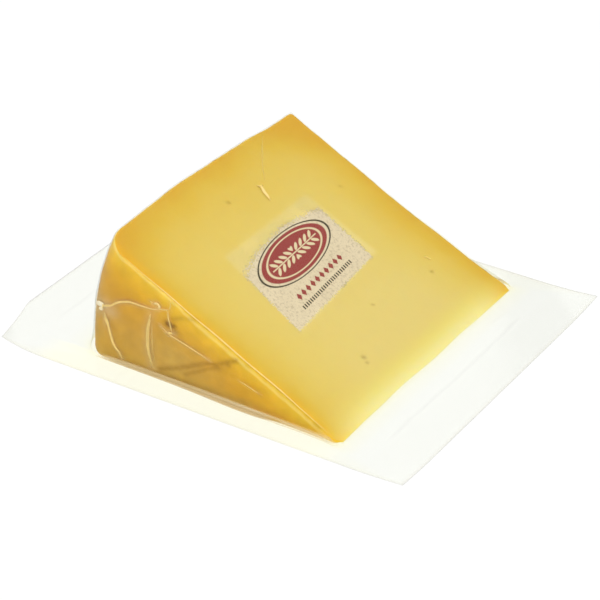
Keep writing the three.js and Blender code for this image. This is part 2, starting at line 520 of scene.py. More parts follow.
@dataclass(frozen=True)
class FilmFinish:
    """Clear glossy film: see-through, whitish with painted highlights round its creases, fatty with
    a painted reflection at its foot, and tinted in places with painted light.

    The covers are the share of light that each of a film's two faces stops. A seal is its
    place along the pack and the way that leads out of it, and the band of painted light that
    lightens the wedge's shadow lies between two ends in front of the near rind; all of them are in
    millimetres.
    """

    clear: Colour = (0.978, 0.981, 0.968)
    # Painted light: the clear film made lighter in front of the near rind, against the wedge's
    # shadow.
    painted_light_clear: Colour = (1.0, 0.998, 0.966)
    # Tint of painted reflected light: the cheese's yellow bounce on the film round its foot.
    cream: Colour = (1.0, 0.985, 0.86)
    # Veil colour of the film's hazing, of painted highlights round the folds and of painted light
    # at the tip's foot.
    white: Colour = (0.92, 0.80, 0.52)
    # Fat at the film's foot and a painted reflection of the cheese in the fold; it also draws a
    # fine painted shadow line near the tip.
    fat_and_painted_light: Colour = (0.62, 0.46, 0.23)
    # Amber of the foot's band near the tip: oil, and a painted reflection of the rind.
    oil_and_reflection: Colour = (0.62, 0.36, 0.035)
    # Painted shade of the films' edges; the same grey marks the seal lines.
    edge: Colour = (0.35, 0.35, 0.33)
    haze_and_light_cover: float = 0.35
    fat_and_painted_light_cover: float = 0.78
    edge_cover: float = 0.08
    seal_cover: float = 0.01
    seals: tuple[tuple[float, float], ...] = ((63.4, 1.0), (-65.3, -1.0))
    seal_middle: float = -2.0
    seal_half: float = 36.0
    strip_front: float = -52.5
    strip_ends: tuple[float, float] = (-56.0, 52.0)
    gloss_ior: float = 1.21
    roughness: float = 0.1

    def seal(self, bench: Bench) -> Field:
        """Return the welded ends of the films: a fine line, and a faint grey beyond it."""
        x, y, _ = bench.axes()
        wander = (bench.noise(26.0, 2.0) - 0.5) * 2.6
        off_middle = (y - self.seal_middle).size()
        ends = bench.less(off_middle.rise(self.seal_half, self.seal_half + 9))
        total = None
        for middle, way in self.seals:
            past = (x - middle + wander) * way
            line = bench.less(past.size().rise(0.1, 1.3)) * ends
            part = line | past.rise(0.0, 3.0) * 0.35
            total = part if total is None else total | part
        creases = bench.noise(2.4, 2.0, (1.0, 9.0, 1.0)).rise(0.55, 0.75) * 0.6
        return total * (bench.noise(11.0, 3.0) * 1.2 + 0.4) | creases

    def painted_light_strip(self, bench: Bench) -> Field:
        """Return 1 on the band of painted light in front of the near rind's foot, and 0 elsewhere.
        """
        x, y, _ = bench.axes()
        left, right = self.strip_ends
        between = (x - left).rise(-6.0, 6.0) * bench.less((x - right).rise(-6.0, 6.0))
        return bench.less((y - self.strip_front).rise(-1.0, 1.0)) * between

    def material(self) -> bpy.types.Material:
        """Return the finish: a diffuse veil by the attributes, partly painted light, over clear
        film tinted in places with painted light, under a thin gloss.
        """
        bench = Bench("clear_film")
        haze_and_light = bench.attribute(Film.HAZE_AND_LIGHT.value)
        fat_and_painted_light = bench.attribute(Film.FAT_AND_PAINTED_LIGHT.value)
        edge = bench.attribute(Film.EDGE.value)
        seal = self.seal(bench)
        painted_bounce = bench.attribute(Film.PAINTED_BOUNCE.value)
        painted_light_strip = self.painted_light_strip(bench)
        veil = bench.mix(bench.attribute(Film.OIL_AND_REFLECTION.value), self.fat_and_painted_light, self.oil_and_reflection)
        veil = bench.mix(fat_and_painted_light, self.white, veil)
        # Painted shade at the films' edges, and the grey of the seals.
        veil = bench.mix((edge | seal) * bench.less(fat_and_painted_light & 1.0), veil, self.edge)
        clear = bench.add("ShaderNodeBsdfTransparent")
        see_through = bench.mix(painted_light_strip, self.clear, self.painted_light_clear)
        # Painted reflected light: the cheese's yellow bounce tints the clear film.
        bench.feed(clear, {0: bench.mix(painted_bounce, see_through, self.cream)})
        body = bench.add("ShaderNodeBsdfDiffuse")
        bench.feed(body, {0: veil})
        cover = (haze_and_light * self.haze_and_light_cover) | (fat_and_painted_light * self.fat_and_painted_light_cover)
        cover = cover | (edge * self.edge_cover) | (seal * self.seal_cover)
        misted = bench.add("ShaderNodeMixShader")
        bench.feed(misted, {0: cover, 1: clear.outputs[0], 2: body.outputs[0]})
        gloss = bench.add("ShaderNodeBsdfGlossy")
        relief = bench.bump(bench.noise(5.0, 2.0, (1.0, 2.2, 1.0)), 0.05)
        bench.feed(gloss, {"Roughness": self.roughness, "Normal": relief})
        fresnel = bench.add("ShaderNodeFresnel")
        bench.feed(fresnel, {"IOR": self.gloss_ior, "Normal": relief})
        glossy = bench.less((fat_and_painted_light | painted_bounce | painted_light_strip * 0.8) & 1.0)
        share = Field(bench, fresnel.outputs[0]) * bench.less(bench.behind()) * glossy
        shader = bench.add("ShaderNodeMixShader")
        bench.feed(shader, {0: share, 1: misted.outputs[0], 2: gloss.outputs[0]})
        return bench.show(shader)


@dataclass(frozen=True)
class LabelFinish:
    """A speckled cream print on clear film, with a red oval and two rows of simple shapes.

    Lengths are in millimetres. A row is its height on the label, half its length and its
    pitch. The leaves are a pitch, an oval's two halves, a slant and how far off the stem.
    The stem is half its length and half its width.
    """

    width: float = 50.0
    height: float = 34.0
    cream: Colour = (0.735, 0.62, 0.46)
    fleck: Colour = (0.47, 0.37, 0.26)
    red: Colour = (0.31, 0.045, 0.042)
    dark: Colour = (0.045, 0.032, 0.016)
    light: Colour = (0.74, 0.62, 0.42)
    field_middle: tuple[float, float] = (0.0, 3.4)
    field_half: tuple[float, float] = (18.5, 7.4)
    leaves: tuple[float, float, float, float, float] = (2.9, 1.75, 0.62, math.radians(38), 1.45)
    stem: tuple[float, float] = (13.6, 0.22)
    lozenge_row: tuple[float, float, float] = (-8.3, 14.5, 2.9)
    lozenge_half: float = 1.1
    bar_row: tuple[float, float, float] = (-11.9, 15.3, 1.2)
    bar_half: tuple[float, float] = (0.3, 0.72)

    def oval(self, x: Field, y: Field, half_x: float, half_y: float) -> Field:
        """Return how far outside an oval a place is, in about millimetres."""
        ring = ((x * (1 / half_x)) ** 2 + (y * (1 / half_y)) ** 2) ** 0.5
        return (ring - 1.0) * min(half_x, half_y)

    def sprig(self, bench: Bench, x: Field, y: Field) -> Field:
        """Return a stem with pairs of slanting leaves that open both ways from the middle."""
        pitch, leaf_long, leaf_wide, slant, off_stem = self.leaves
        stem_long, stem_wide = self.stem
        along, side = x.size(), y.size()
        dx, dy = bench.repeat(along - 1.2, pitch), side - off_stem
        turned_x = dx * math.cos(slant) + dy * math.sin(slant)
        turned_y = dy * math.cos(slant) - dx * math.sin(slant)
        leaves = self.oval(turned_x, turned_y, leaf_long, leaf_wide) | (along - (stem_long - 1.0))
        return leaves & ((side - stem_wide) | (along - stem_long))

    def lozenges(self, bench: Bench, x: Field, y: Field) -> Field:
        """Return a row of lozenges, as how far outside them a place is."""
        height, half, pitch = self.lozenge_row
        lozenge = bench.repeat(x, pitch).size() + (y - height).size() * 0.8 - self.lozenge_half
        return lozenge | (x.size() - half)

    def bars(self, bench: Bench, x: Field, y: Field) -> Field:
        """Return a row of short upright bars, as how far outside them a place is."""
        height, half, pitch = self.bar_row
        half_x, half_y = self.bar_half
        bar = (bench.repeat(x, pitch).size() - half_x) | ((y - height).size() - half_y)
        return bar | (x.size() - half)

    def print_cover(self, bench: Bench, across: Field, up: Field) -> Field:
        """Return 1 where the print covers the film and 0 where it is worn off to clear film.

        Fine grain is cut off at a level that rises towards the label's edges, and past an
        arch across its top.
        """
        arch = up + across * across * 0.0065 + (bench.noise(4.0, 3.0) - 0.5) * 3.0
        past_top = arch.rise(10.6, 14.6)
        to_edge = (across.size() - self.width / 2) | (up.size() - self.height / 2)
        worn = past_top | to_edge.rise(-1.7, 0.0)
        grain = bench.noise(0.5, 2.0).rise(0.3, 0.7)
        return (grain - worn * 1.1 + 0.05).rise(-0.12, 0.12)

    def material(self) -> bpy.types.Material:
        """Return the finish: the print on the label's own UV map, fading out up the slope."""
        bench = Bench("label_print")
        split = bench.add("ShaderNodeSeparateXYZ")
        bench.feed(split, {0: bench.add("ShaderNodeUVMap").outputs[0]})
        across = (Field(bench, split.outputs[0]) - 0.5) * self.width
        up = (Field(bench, split.outputs[1]) - 0.5) * self.height
        fleck = bench.noise(0.9, 5.0).rise(0.5, 0.68)
        colour = bench.mix(fleck * 0.6, self.cream, self.fleck)
        colour = bench.vary(colour, bench.noise(7.0, 3.0), 0.08)
        colour = bench.vary(colour, bench.noise(0.45, 2.0), 0.12)
        x, y = across - self.field_middle[0], up - self.field_middle[1]
        red = self.oval(x, y, *self.field_half)
        inner_ring = (red + 1.25).size() - 0.22
        outer_ring = (red - 0.75).size() - 0.18
        colour = bench.mix(red.inside(0.12), colour, self.red)
        pale_lines = (inner_ring & self.sprig(bench, x, y)).inside(0.12)
        colour = bench.mix(pale_lines, colour, self.light)
        colour = bench.mix(self.lozenges(bench, across, up).inside(0.1), colour, self.red)
        dark_lines = (outer_ring & self.bars(bench, across, up)).inside(0.1)
        colour = bench.mix(dark_lines, colour, self.dark)
        cover = self.print_cover(bench, across, up) | (red - 0.9).inside(0.2)
        cover = cover * bench.less(bench.behind())
        body = bench.add("ShaderNodeBsdfPrincipled")
        settings = {"Base Color": colour, "Roughness": 0.5, "Specular IOR Level": 0.3}
        bench.feed(body, settings)
        clear = bench.add("ShaderNodeBsdfTransparent")
        shader = bench.add("ShaderNodeMixShader")
        bench.feed(shader, {0: cover, 1: clear.outputs[0], 2: body.outputs[0]})
        return bench.show(shader)


@dataclass(frozen=True)
class StrandFinish:
    """Film gathered into a fold: whitish film with a painted highlight, lighter than what it lies
    on, and glossy.
    """

    milky_and_highlight: Colour = (1.0, 0.75, 0.25)
    # The whitest painted highlight, on the thickest folds.
    white: Colour = (1.0, 0.92, 0.66)
    cover: float = 0.76

    def material(self) -> bpy.types.Material:
        """Return the finish: a share of whitish body in clear film that is partly a painted
        highlight, whiter where it is thickest.
        """
        bench = Bench("gathered_film_painted_highlight")
        clear = bench.add("ShaderNodeBsdfTransparent")
        body = bench.add("ShaderNodeBsdfPrincipled")
        haze_and_light = bench.attribute(Film.HAZE_AND_LIGHT.value)
        colour = bench.mix(haze_and_light.rise(1.0, 1.5), self.milky_and_highlight, self.white)
        settings = {"Base Color": colour, "Roughness": 0.3, "IOR": 1.4, "Specular IOR Level": 0.3}
        bench.feed(body, settings)
        fine = bench.noise(1.6, 3.0) * 0.5 + 0.75
        shader = bench.add("ShaderNodeMixShader")
        share = (haze_and_light & 1.0) * fine * self.cover
        bench.feed(shader, {0: share, 1: clear.outputs[0], 2: body.outputs[0]})
        return bench.show(shader)


# The wedge's form, and the skins over it


@dataclass(frozen=True)
class Skin:
    """How a surface lies over the wedge, in millimetres.

    Attributes:
        offset: distance out from the cheese.
        foot: share of the film's flare at the foot, 0 or 1.
        below: how far its lower edge lies below the cheese's.
        rounding: radius of its edges.
    """

    offset: float = 0.0
    foot: float = 0.0
    below: float = 0.0
    rounding: float = 0.8


@dataclass(frozen=True)
class Wedge:
    """A sector of the cheese wheel, on its lower cut face, in millimetres.

    Its own frame has its origin at the tip edge's near corner, -X towards the rind. A swell
    is its rise, its middle along the tip edge and its width. A spread is its size and its
    reach from the tip edge.
    """

    radius: float = 98.0
    height: float = 104.0
    angle: float = math.radians(27.7)
    side_bulge: float = 2.4
    widest_at: float = 0.37
    side_swells: tuple[tuple[float, float, float], ...] = ((0.55, 41.0, 8.0), (-0.5, 92.0, 6.0))
    near_rim: float = 9.0
    far_rim: float = 1.4
    overhang_tip: float = 0.7
    overhang_side: float = 1.9
    near_spread: tuple[float, float] = (2.6, 12.0)
    far_spread: tuple[float, float] = (4.3, 30.0)
    near_bulge: float = 1.1
    near_bulge_reach: float = 3.0
    near_corner: float = 2.0
    far_corner: float = 1.6
    corner_reach: float = 1.2
    tip_swells: tuple[tuple[float, float, float], ...] = (
        (-0.75, 36.0, 9.0),
        (-0.35, 14.0, 6.0),
        (-0.4, 71.0, 6.0),
    )
    tip_swell_reach: float = 5.0
    seal_level: float = 0.6
    foot_side: float = 1.2
    foot_flat: float = 1.1
    foot_wide_at: tuple[float, float] = (30.0, 14.0)
    foot_reach: float = 3.5
    tip_to_film_edge: float = 28.0
    near_rind_to_film_edge: float = 10.4

    def shift(self) -> Array:
        """Return the step from the wedge's own frame to the pack's, from the films' edges."""
        low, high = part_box("base_film")
        x = high.x / MM - self.tip_to_film_edge
        y = low.y / MM + self.near_rind_to_film_edge
        return np.array([x, y, 0.0])

    def rim_drop(self, from_face: Array, rim: float) -> Array:
        """Return how far a rim of a quarter circle falls back, at a distance from its face."""
        inside = np.clip(rim - from_face, 0, rim)
        return rim - np.sqrt(rim**2 - inside**2)

    def side_radius(self, height: Array) -> Array:
        """Return the side's distance from the axis: a parabola less two rims, with swells."""
        off = (height / self.height - self.widest_at) / (1 - self.widest_at)
        rims = self.rim_drop(height, self.near_rim)
        rims = rims + self.rim_drop(self.height - height, self.far_rim)
        swells = sum(rise * bell(height - middle, wide) for rise, middle, wide in self.side_swells)
        return self.radius - self.side_bulge * off**2 - rims + swells

    def ends(self, core: Array, out: Array, turn: Array) -> tuple[Array, Array]:
        """Return where the near and the far rind lie along the tip edge.

        The upper edge of the near rind overhangs its foot. Both rinds spread towards the tip
        by e to the minus distance over a reach, the near one at its foot only, and their
        corners there fall back over a shorter reach.
        """
        corner = np.exp(-core / self.corner_reach)
        overhang = self.overhang_tip + (self.overhang_side - self.overhang_tip) * out
        overhang = overhang * (turn + (1 - turn) * np.exp(-core / self.near_bulge_reach))
        amount, reach = self.near_spread
        spread = amount * np.exp(-core / reach) * (1 - np.exp(-core / 2.0))
        bulge = self.near_bulge * np.exp(-((core / self.near_bulge_reach) ** 2))
        near = self.near_corner * corner - overhang - (1 - turn) * spread - bulge
        amount, reach = self.far_spread
        far = self.height + amount * np.exp(-core / reach)
        return near, far - self.far_corner * corner

    def tip_wave(self, core: Array, along: Array) -> Array:
        """Return how far the tip edge wavers along its length: bells that fade up the slope."""
        places = along * self.height
        wave = sum(rise * bell(places - middle, wide) for rise, middle, wide in self.tip_swells)
        return wave * np.exp(-core / self.tip_swell_reach)

    def rounded(self, out: Array, along: Array, turn: Array, rounding: float) -> tuple[Array, ...]:
        """Draw the parameters in where edges are rounded.

        In lengths along the three ways, a place goes to its nearest place in the block that
        is smaller by the radius all round, plus one radius on towards itself.
        """
        whole = np.ones_like(out)
        arc = out * self.radius * self.angle
        lengths = np.stack([whole * self.radius, whole * self.height, arc], axis=-1)
        lengths = np.maximum(lengths, 1e-6)
        place = np.stack([out, along, turn], axis=-1) * lengths
        radii = np.minimum(rounding, 0.45 * lengths)
        low = radii * np.array([0.0, 1.0, 1.0])
        core = np.clip(place, low, lengths - radii)
        step = (place - core) / radii
        size = np.linalg.norm(step, axis=-1, keepdims=True)
        drawn = core + radii * step / np.maximum(size, 1e-9)
        drawn = np.where(size > 1e-9, drawn, place) / lengths
        return drawn[..., 0], drawn[..., 1], drawn[..., 2]

    def point(
        self, out: Array, along: Array, turn: Array, skin: Skin, extra: Array | float = 0.0
    ) -> Array:
        """Return places of the wedge, or of a skin over it, in the pack's frame.

        A place is turned about the tip edge by its share of the wedge's angle, at its share
        of the side's distance, and lies at its share of the height. A skin is further out
        by its offset along each face's normal, and flares out by e to the minus height over
        the foot's reach.

        Args:
            out: from the tip edge (0) to the side rind (1).
            along: from the near rind (0) to the far one (1).
            turn: from the lower cut face (0) to the upper one (1).
            skin: how the surface lies over the wedge.
            extra: added to the skin's offset.
        """
        out, along, turn = np.broadcast_arrays(*(np.asarray(v, float) for v in (out, along, turn)))
        at_tip = out <= 0
        out, along, turn = self.rounded(out, along, turn, skin.rounding)
        offset = skin.offset + extra
        core = out * self.side_radius(along * self.height)
        angle = turn * self.angle
        flare = skin.foot * np.exp(-core * np.sin(angle) / self.foot_reach)
        radius = core + out * (offset + self.foot_side * flare)
        near, far = self.ends(core, out, turn)
        wide_at, wide_reach = self.foot_wide_at
        foot = self.foot_flat * flare * (1 + 0.8 * bell(core - wide_at, wide_reach))
        y = near + (far - near) * along + (2 * along - 1) * (offset + foot)
        sine, cosine = math.sin(self.angle), math.cos(self.angle)
        x = -radius * np.cos(angle) + turn * offset * sine
        z = self.seal_level + radius * np.sin(angle) + turn * offset * cosine
        z = z - (1 - turn) * skin.below
        reach = (offset * cosine + skin.below) * cosine / sine + offset * sine
        x = np.where(at_tip, reach, x) + self.tip_wave(core, along)
        z = np.where(at_tip, self.seal_level - skin.below, z)
        return np.stack([x, y, z], axis=-1) + self.shift()

    def on_near_rind(self, x: Array, z: Array) -> tuple[Array, Array, Array]:
        """Return the out, along and turn of a place on the near rind, from its own x and z.

        Past the flat rind's edge the place is on the near rim's quarter circle.
        """
        rise = z - self.seal_level
        distance = np.hypot(x, rise)
        flat = float(self.side_radius(np.array(0.0)))
        past = np.clip(distance - flat, 0, self.near_rim * 0.999)
        along = (self.near_rim - np.sqrt(self.near_rim**2 - past**2)) / self.height
        out = np.minimum(distance / flat, 1.0)
        return out, along, np.arctan2(rise, -x) / self.angle

    def on_cut_face(self, up: Array, along: Array) -> tuple[Array, Array, Array]:
        """Return the out, along and turn of a place on the upper cut face, in millimetres."""
        share = along / self.height
        return up / self.side_radius(along), share, np.ones_like(share)


@dataclass(frozen=True)
class WedgeGrid:
    """How finely a surface over the wedge is divided."""

    out_steps: int
    along_steps: int
    turn_steps: int
    turn_pull: float = 0.8

    def out(self) -> Array:
        """Return steps from the tip to the side rind, finer at both ends."""
        return crowded(self.out_steps, 0.55)

    def along(self, wedge: Wedge) -> Array:
        """Return steps between the flat rinds, at even angles round the two rims."""
        quarter = np.linspace(0, math.pi / 2, 13)
        near = wedge.near_rim * (1 - np.cos(quarter))
        far = wedge.height - wedge.far_rim * (1 - np.cos(quarter[::-2]))
        middle = np.linspace(near[-1], far[0], self.along_steps + 1)[1:-1]
        return np.concatenate([near, middle, far]) / wedge.height

    def turn(self) -> Array:
        """Return steps from the lower cut face to the upper one, finer at both ends."""
        return crowded(self.turn_steps, self.turn_pull)

    def faces(self, wedge: Wedge) -> dict[str, tuple[Array, Array, Array, bool]]:
        """Return each face's grid of out, along and turn, and whether it has to be turned."""
        out, along, turn = self.out(), self.along(wedge), self.turn()
        cut_out, cut_along = np.meshgrid(out, along, indexing="ij")
        rind_out, rind_turn = np.meshgrid(out, turn, indexing="ij")
        side_along, side_turn = np.meshgrid(along, turn, indexing="ij")
        zero, one = np.zeros_like, np.ones_like
        return {
            "upper": (cut_out, cut_along, one(cut_out), True),
            "lower": (cut_out, cut_along, zero(cut_out), False),
            "near": (rind_out, zero(rind_out), rind_turn, True),
            "far": (rind_out, one(rind_out), rind_turn, False),
            "side": (one(side_along), side_along, side_turn, True),
        }


# The marks that the photograph shows, in the wedge's own frame


@dataclass(frozen=True)
class Fold:
    """A fold of gathered film: a thin ridge along a path.

    Attributes:
        path: corners of its line, in a face's own two directions, in millimetres.
        width: across its base.
        rise: how high it stands.
        body: how whitish and how strongly painted with highlight it is, where more than 1 is whiter
            too.
    """

    path: tuple[tuple[float, float], ...]
    width: float = 0.8
    rise: float = 0.45
    body: float = 1.0


NEAR_RIND_FOLDS = (
    Fold(
        ((-88.0, 19.0), (-86.2, 19.6), (-84.9, 21.4), (-82.5, 23.4), (-80.5, 24.5),
        (-78.5, 25.2), (-76.6, 25.7), (-72.8, 25.7), (-68.9, 25.9), (-67.4, 26.2),
        (-65.3, 26.9)),
        0.66, 0.45,
    ),
    Fold(((-91.8, 19.3), (-89.6, 20.3), (-87.2, 20.3), (-85.4, 20.0)), 2.1, 0.55, 1.5),
    Fold(((-90.4, 18.4), (-88.4, 18.9), (-86.0, 19.6)), 1.4, 0.45, 1.4),
    Fold(
        ((-66.2, 26.5), (-65.4, 27.5), (-65.9, 28.5), (-66.8, 28.5), (-67.6, 28.0)),
        0.75, 0.5, 1.15,
    ),
    Fold(((-67.6, 28.0), (-68.4, 28.3), (-69.3, 28.8)), 0.5, 0.25, 0.5),
    Fold(((-66.0, 26.8), (-64.0, 27.2), (-61.8, 27.8)), 0.5, 0.25, 0.6),
    Fold(((-61.1, 31.2), (-61.3, 29.3), (-62.1, 27.6)), 0.5, 0.2, 0.3),
    Fold(
        ((-62.4, 27.7), (-62.3, 24.5), (-61.9, 22.8), (-61.6, 21.1), (-61.3, 19.0)),
        0.45, 0.3, 0.6,
    ),
    Fold(((-63.0, 19.0), (-61.8, 19.1), (-60.6, 19.3)), 0.8, 0.45, 1.0),
    Fold(
        ((-86.1, 18.4), (-86.3, 16.0), (-86.2, 13.4), (-85.5, 10.6), (-84.6, 7.8),
        (-83.4, 6.0), (-81.9, 4.6), (-80.5, 2.4)),
        0.5, 0.35, 0.85,
    ),
    Fold(
        ((-69.0, 24.8), (-69.8, 21.2), (-70.8, 17.2), (-71.1, 12.7), (-70.8, 8.8),
        (-69.2, 3.2)),
        1.3, 0.14, 0.6,
    ),
    Fold(
        ((-68.7, 20.9), (-69.2, 16.9), (-69.3, 13.2), (-69.1, 9.4), (-68.3, 5.0)),
        0.4, 0.2, 0.22,
    ),
    Fold(
        ((-65.7, 20.8), (-64.0, 19.5), (-62.3, 18.4), (-58.8, 17.4), (-54.3, 16.1),
        (-50.6, 14.9), (-47.4, 13.9)),
        0.5, 0.35, 0.85,
    ),
    Fold(((-64.6, 18.9), (-63.2, 18.0), (-61.8, 17.4)), 0.35, 0.2, 0.35),
    Fold(((-36.5, 10.2), (-32.9, 9.2), (-28.6, 8.0)), 0.42, 0.22, 0.45),
)
# The folds on the cut face are small creases whose pale colour is a painted glint of the film; the
# last runs along the ridge as its painted highlight line.
CUT_FACE_FOLDS = (
    Fold(
        ((81.4, 64.6), (79.8, 65.0), (78.2, 64.2), (76.6, 63.8), (74.6, 63.0)),
        1.2, 0.08, 1.1,
    ),
    Fold(((81.6, 63.9), (80.6, 65.0), (80.2, 66.4)), 0.7, 0.2, 0.5),
    Fold(((94.6, 85.2), (90.0, 78.8), (84.8, 72.2), (81.0, 68.4)), 0.7, 0.15, 0.16),
    Fold(((27.4, 89.5), (24.6, 90.5)), 0.6, 0.15, 0.3),
    Fold(
        ((89.0, 0.2), (80.0, 0.1), (70.0, 0.3), (60.0, 0.1), (50.0, 0.4), (38.0, 0.2),
        (26.0, 0.5), (14.0, 0.3), (4.0, 0.5)),
        0.72, 0.32, 0.9,
    ),
)


@dataclass(frozen=True)
class Cheese:
    """The wedge of cheese: two cut faces of paste, and rinds on its other three sides.

    In millimetres, a pit is its place up and across the cut face and its width. A spot is
    its place on the near rind, its width and its darkness, and a streak is its width, its
    darkness and its path. A corner and the grey zone are a middle and two halves. A wave is
    its height, its length and its seed.
    """

    wedge: Wedge = Wedge()
    grid: WedgeGrid = WedgeGrid(150, 128, 54)
    skin: Skin = Skin(below=0.32, rounding=0.9)
    pits: tuple[tuple[float, float, float], ...] = (
        (83.0, 49.7, 0.9),
        (15.0, 35.0, 1.1),
        (12.9, 34.1, 0.7),
        (21.5, 86.9, 0.8),
        (26.0, 56.3, 0.6),
        (64.0, 91.0, 0.7),
    )
    spots: tuple[tuple[float, float, float, float], ...] = (
        (-62.9, 22.5, 0.85, 1.25),
        (-61.1, 22.4, 0.65, 1.15),
        (-60.5, 20.6, 0.6, 0.6),
        (-45.2, 12.7, 1.2, 0.45),
        (-40.9, 15.2, 0.8, 0.5),
    )
    streaks: tuple[tuple[float, float, tuple[tuple[float, float], ...]], ...] = (
        (
            0.7,
            0.4,
            (
                *((-67.5, 4.0), (-58.8, 7.5), (-53.6, 10.2)),
                *((-49.2, 12.4), (-44.8, 13.7), (-37.6, 17.6)),
            ),
        ),
        (0.6, 0.3, ((-57.6, 5.4), (-52.2, 8.4), (-45.6, 12.6))),
        (0.6, 0.22, ((-61.4, 24.8), (-57.5, 26.5), (-51.8, 27.8))),
    )
    deep_corners: tuple[tuple[float, float, float, float], ...] = (
        (92.0, 4.0, 13.0, 11.0),
        (92.0, 96.0, 11.0, 9.0),
    )
    label_corners: tuple[tuple[float, float], ...] = (
        (34.2, 25.4),
        (38.8, 77.5),
        (69.3, 76.8),
        (69.1, 29.0),
    )
    grey_zone: tuple[float, float, float, float] = (-64.0, 9.0, 14.0, 9.0)
    swell_waves: tuple[tuple[float, float, int], ...] = ((0.10, 31.0, 3), (0.05, 9.0, 4))
    rind_wave: tuple[float, float, int] = (0.04, 4.0, 5)
    swells_start: float = 6.0
    pit_depth: float = 0.35
    # How dark the painted shade in each pit is.
    pit_shade: float = 0.45
    corner_depth: float = 4.0

    def swells(self, rest: Array, up: Array) -> Array:
        """Return low swells: ripples that fade towards the tip edge."""
        waves = sum(rise * ripple(rest, long, seed) for rise, long, seed in self.swell_waves)
        return waves * np.clip(up / self.swells_start, 0, 1)

    def relief(self, rest: Array, out: Array, along: Array, turn: Array, rind: Array) -> Array:
        """Return how far each place stands out: the swells, less the small pits.

        The rinds have finer ripples too; each pit is a bell round its place on the cut face.
        """
        up = out * self.wedge.side_radius(along * self.wedge.height)
        across = along * self.wedge.height
        rise, long, seed = self.rind_wave
        fine = rind * rise * ripple(rest, long, seed)
        for pit_up, pit_across, width in self.pits:
            away = np.hypot(up - pit_up, across - pit_across)
            fine = fine - self.pit_depth * bell(away, width * 0.55) * (turn > 0.97)
        return self.swells(rest, up) + fine * np.clip(up / self.swells_start, 0, 1)

    def marks(self, out: Array, along: Array, turn: Array) -> tuple[Array, Array]:
        """Return how dark and how grey a place is, as bells round the marks.

        The pits are on the cut face, darkened with painted shade, and the spots, streaks and grey
        zone on the near rind.
        """
        up = out * self.wedge.side_radius(along * self.wedge.height)
        across = along * self.wedge.height
        dark = np.zeros_like(up)
        for pit_up, pit_across, width in self.pits:
            away = np.hypot(up - pit_up, across - pit_across)
            dark = np.maximum(dark, self.pit_shade * bell(away, width * 0.5) * (turn > 0.97))
        x = -up * np.cos(turn * self.wedge.angle)
        z = self.wedge.seal_level + up * np.sin(turn * self.wedge.angle)
        on_near = (along < 0.01).astype(float)
        for middle_x, middle_z, width, share in self.spots:
            spot = bell(np.hypot((x - middle_x) * 0.8, z - middle_z), width)
            dark = np.maximum(dark, on_near * share * spot)
        for width, share, path in self.streaks:
            away = distance_to_path(np.stack([x, z], axis=-1), np.array(path))
            dark = np.maximum(dark, on_near * share * bell(away, width))
        middle_x, middle_z, half_x, half_z = self.grey_zone
        away = np.hypot((x - middle_x) / half_x, (z - middle_z) / half_z)
        return dark, on_near * bell(away, 0.8)

    def rind_gap(self, up: Array, across: Array) -> Array:
        """Return how far a place on a cut face is from the rinds, for the paste's colour.

        It is the smaller of three lengths by their inverse squares, the near and the far one
        longer near the tip, less bells at the two corners of the side rind.
        """
        from_far = np.clip(self.wedge.height - across, 0, None)
        from_far = from_far * np.clip(0.38 + 0.022 * from_far, 0, 1)
        from_far = from_far * (1 + 0.6 * np.clip((40 - up) / 35, 0, 1))
        from_near = across + 2.5 * np.exp(-up / 8.0)
        lengths = np.stack([from_near, from_far, (self.wedge.radius - up) * 0.5])
        gap = (np.clip(lengths, 0.5, None) ** -2.0).sum(axis=0) ** -0.5
        for middle_up, middle_across, half_up, half_across in self.deep_corners:
            away = np.hypot((up - middle_up) / half_up, (across - middle_across) / half_across)
            gap = gap - self.corner_depth * bell(away, 0.7)
        return gap

    def under_label(self, up: Array, across: Array) -> Array:
        """Return 1 inside the four corners of the label and 0 outside, over a soft edge."""
        inside = np.ones_like(up)
        corners = np.array(self.label_corners)
        for start, end in zip(corners, np.roll(corners, -1, axis=0)):
            run = (end - start) / np.linalg.norm(end - start)
            past = (up - start[0]) * run[1] - (across - start[1]) * run[0]
            inside = inside / (1 + np.exp(-past / 0.35))
        return inside

    def patch(self, face: str, grids: tuple[Array, Array, Array, bool]) -> Patch:
        """Return one face with its attributes, which are lengths in millimetres or shares."""
        out, along, turn, turned = grids
        wedge = self.wedge
        is_rind = 0.0 if face in ("upper", "lower") else 1.0
        rest = wedge.point(out, along, turn, self.skin)
        rind = np.full_like(out, is_rind)
        relief = self.relief(rest, out, along, turn, rind)
        up = out * wedge.side_radius(along * wedge.height)
        across = along * wedge.height
        dark, grey = self.marks(out, along, turn)
        values = {
            Paste.RIND.value: rind,
            Paste.RIND_GAP.value: self.rind_gap(up, across),
            Paste.TIP_GAP.value: up,
            Paste.UNDER_RIDGE.value: (1 - turn) * wedge.angle * up,
            Paste.ABOVE_BASE.value: rest[..., 2] - wedge.seal_level,
            Paste.STAIN_AND_PIT_SHADE.value: dark,
            Paste.GREYER.value: grey,
            Paste.PALE.value: self.under_label(up, across) * (turn > 0.97),
        }
        return Patch(wedge.point(out, along, turn, self.skin, relief), turned, values)

    def build(self) -> bpy.types.Object:
        """Build and dress the cheese."""
        faces = self.grid.faces(self.wedge)
        piece = make_piece("cheese", [self.patch(face, grids) for face, grids in faces.items()])
        piece.data.materials.append(CheeseFinish().material())
        place_piece(piece, Slot.CHEESE, "cheese_wedge")
        return piece


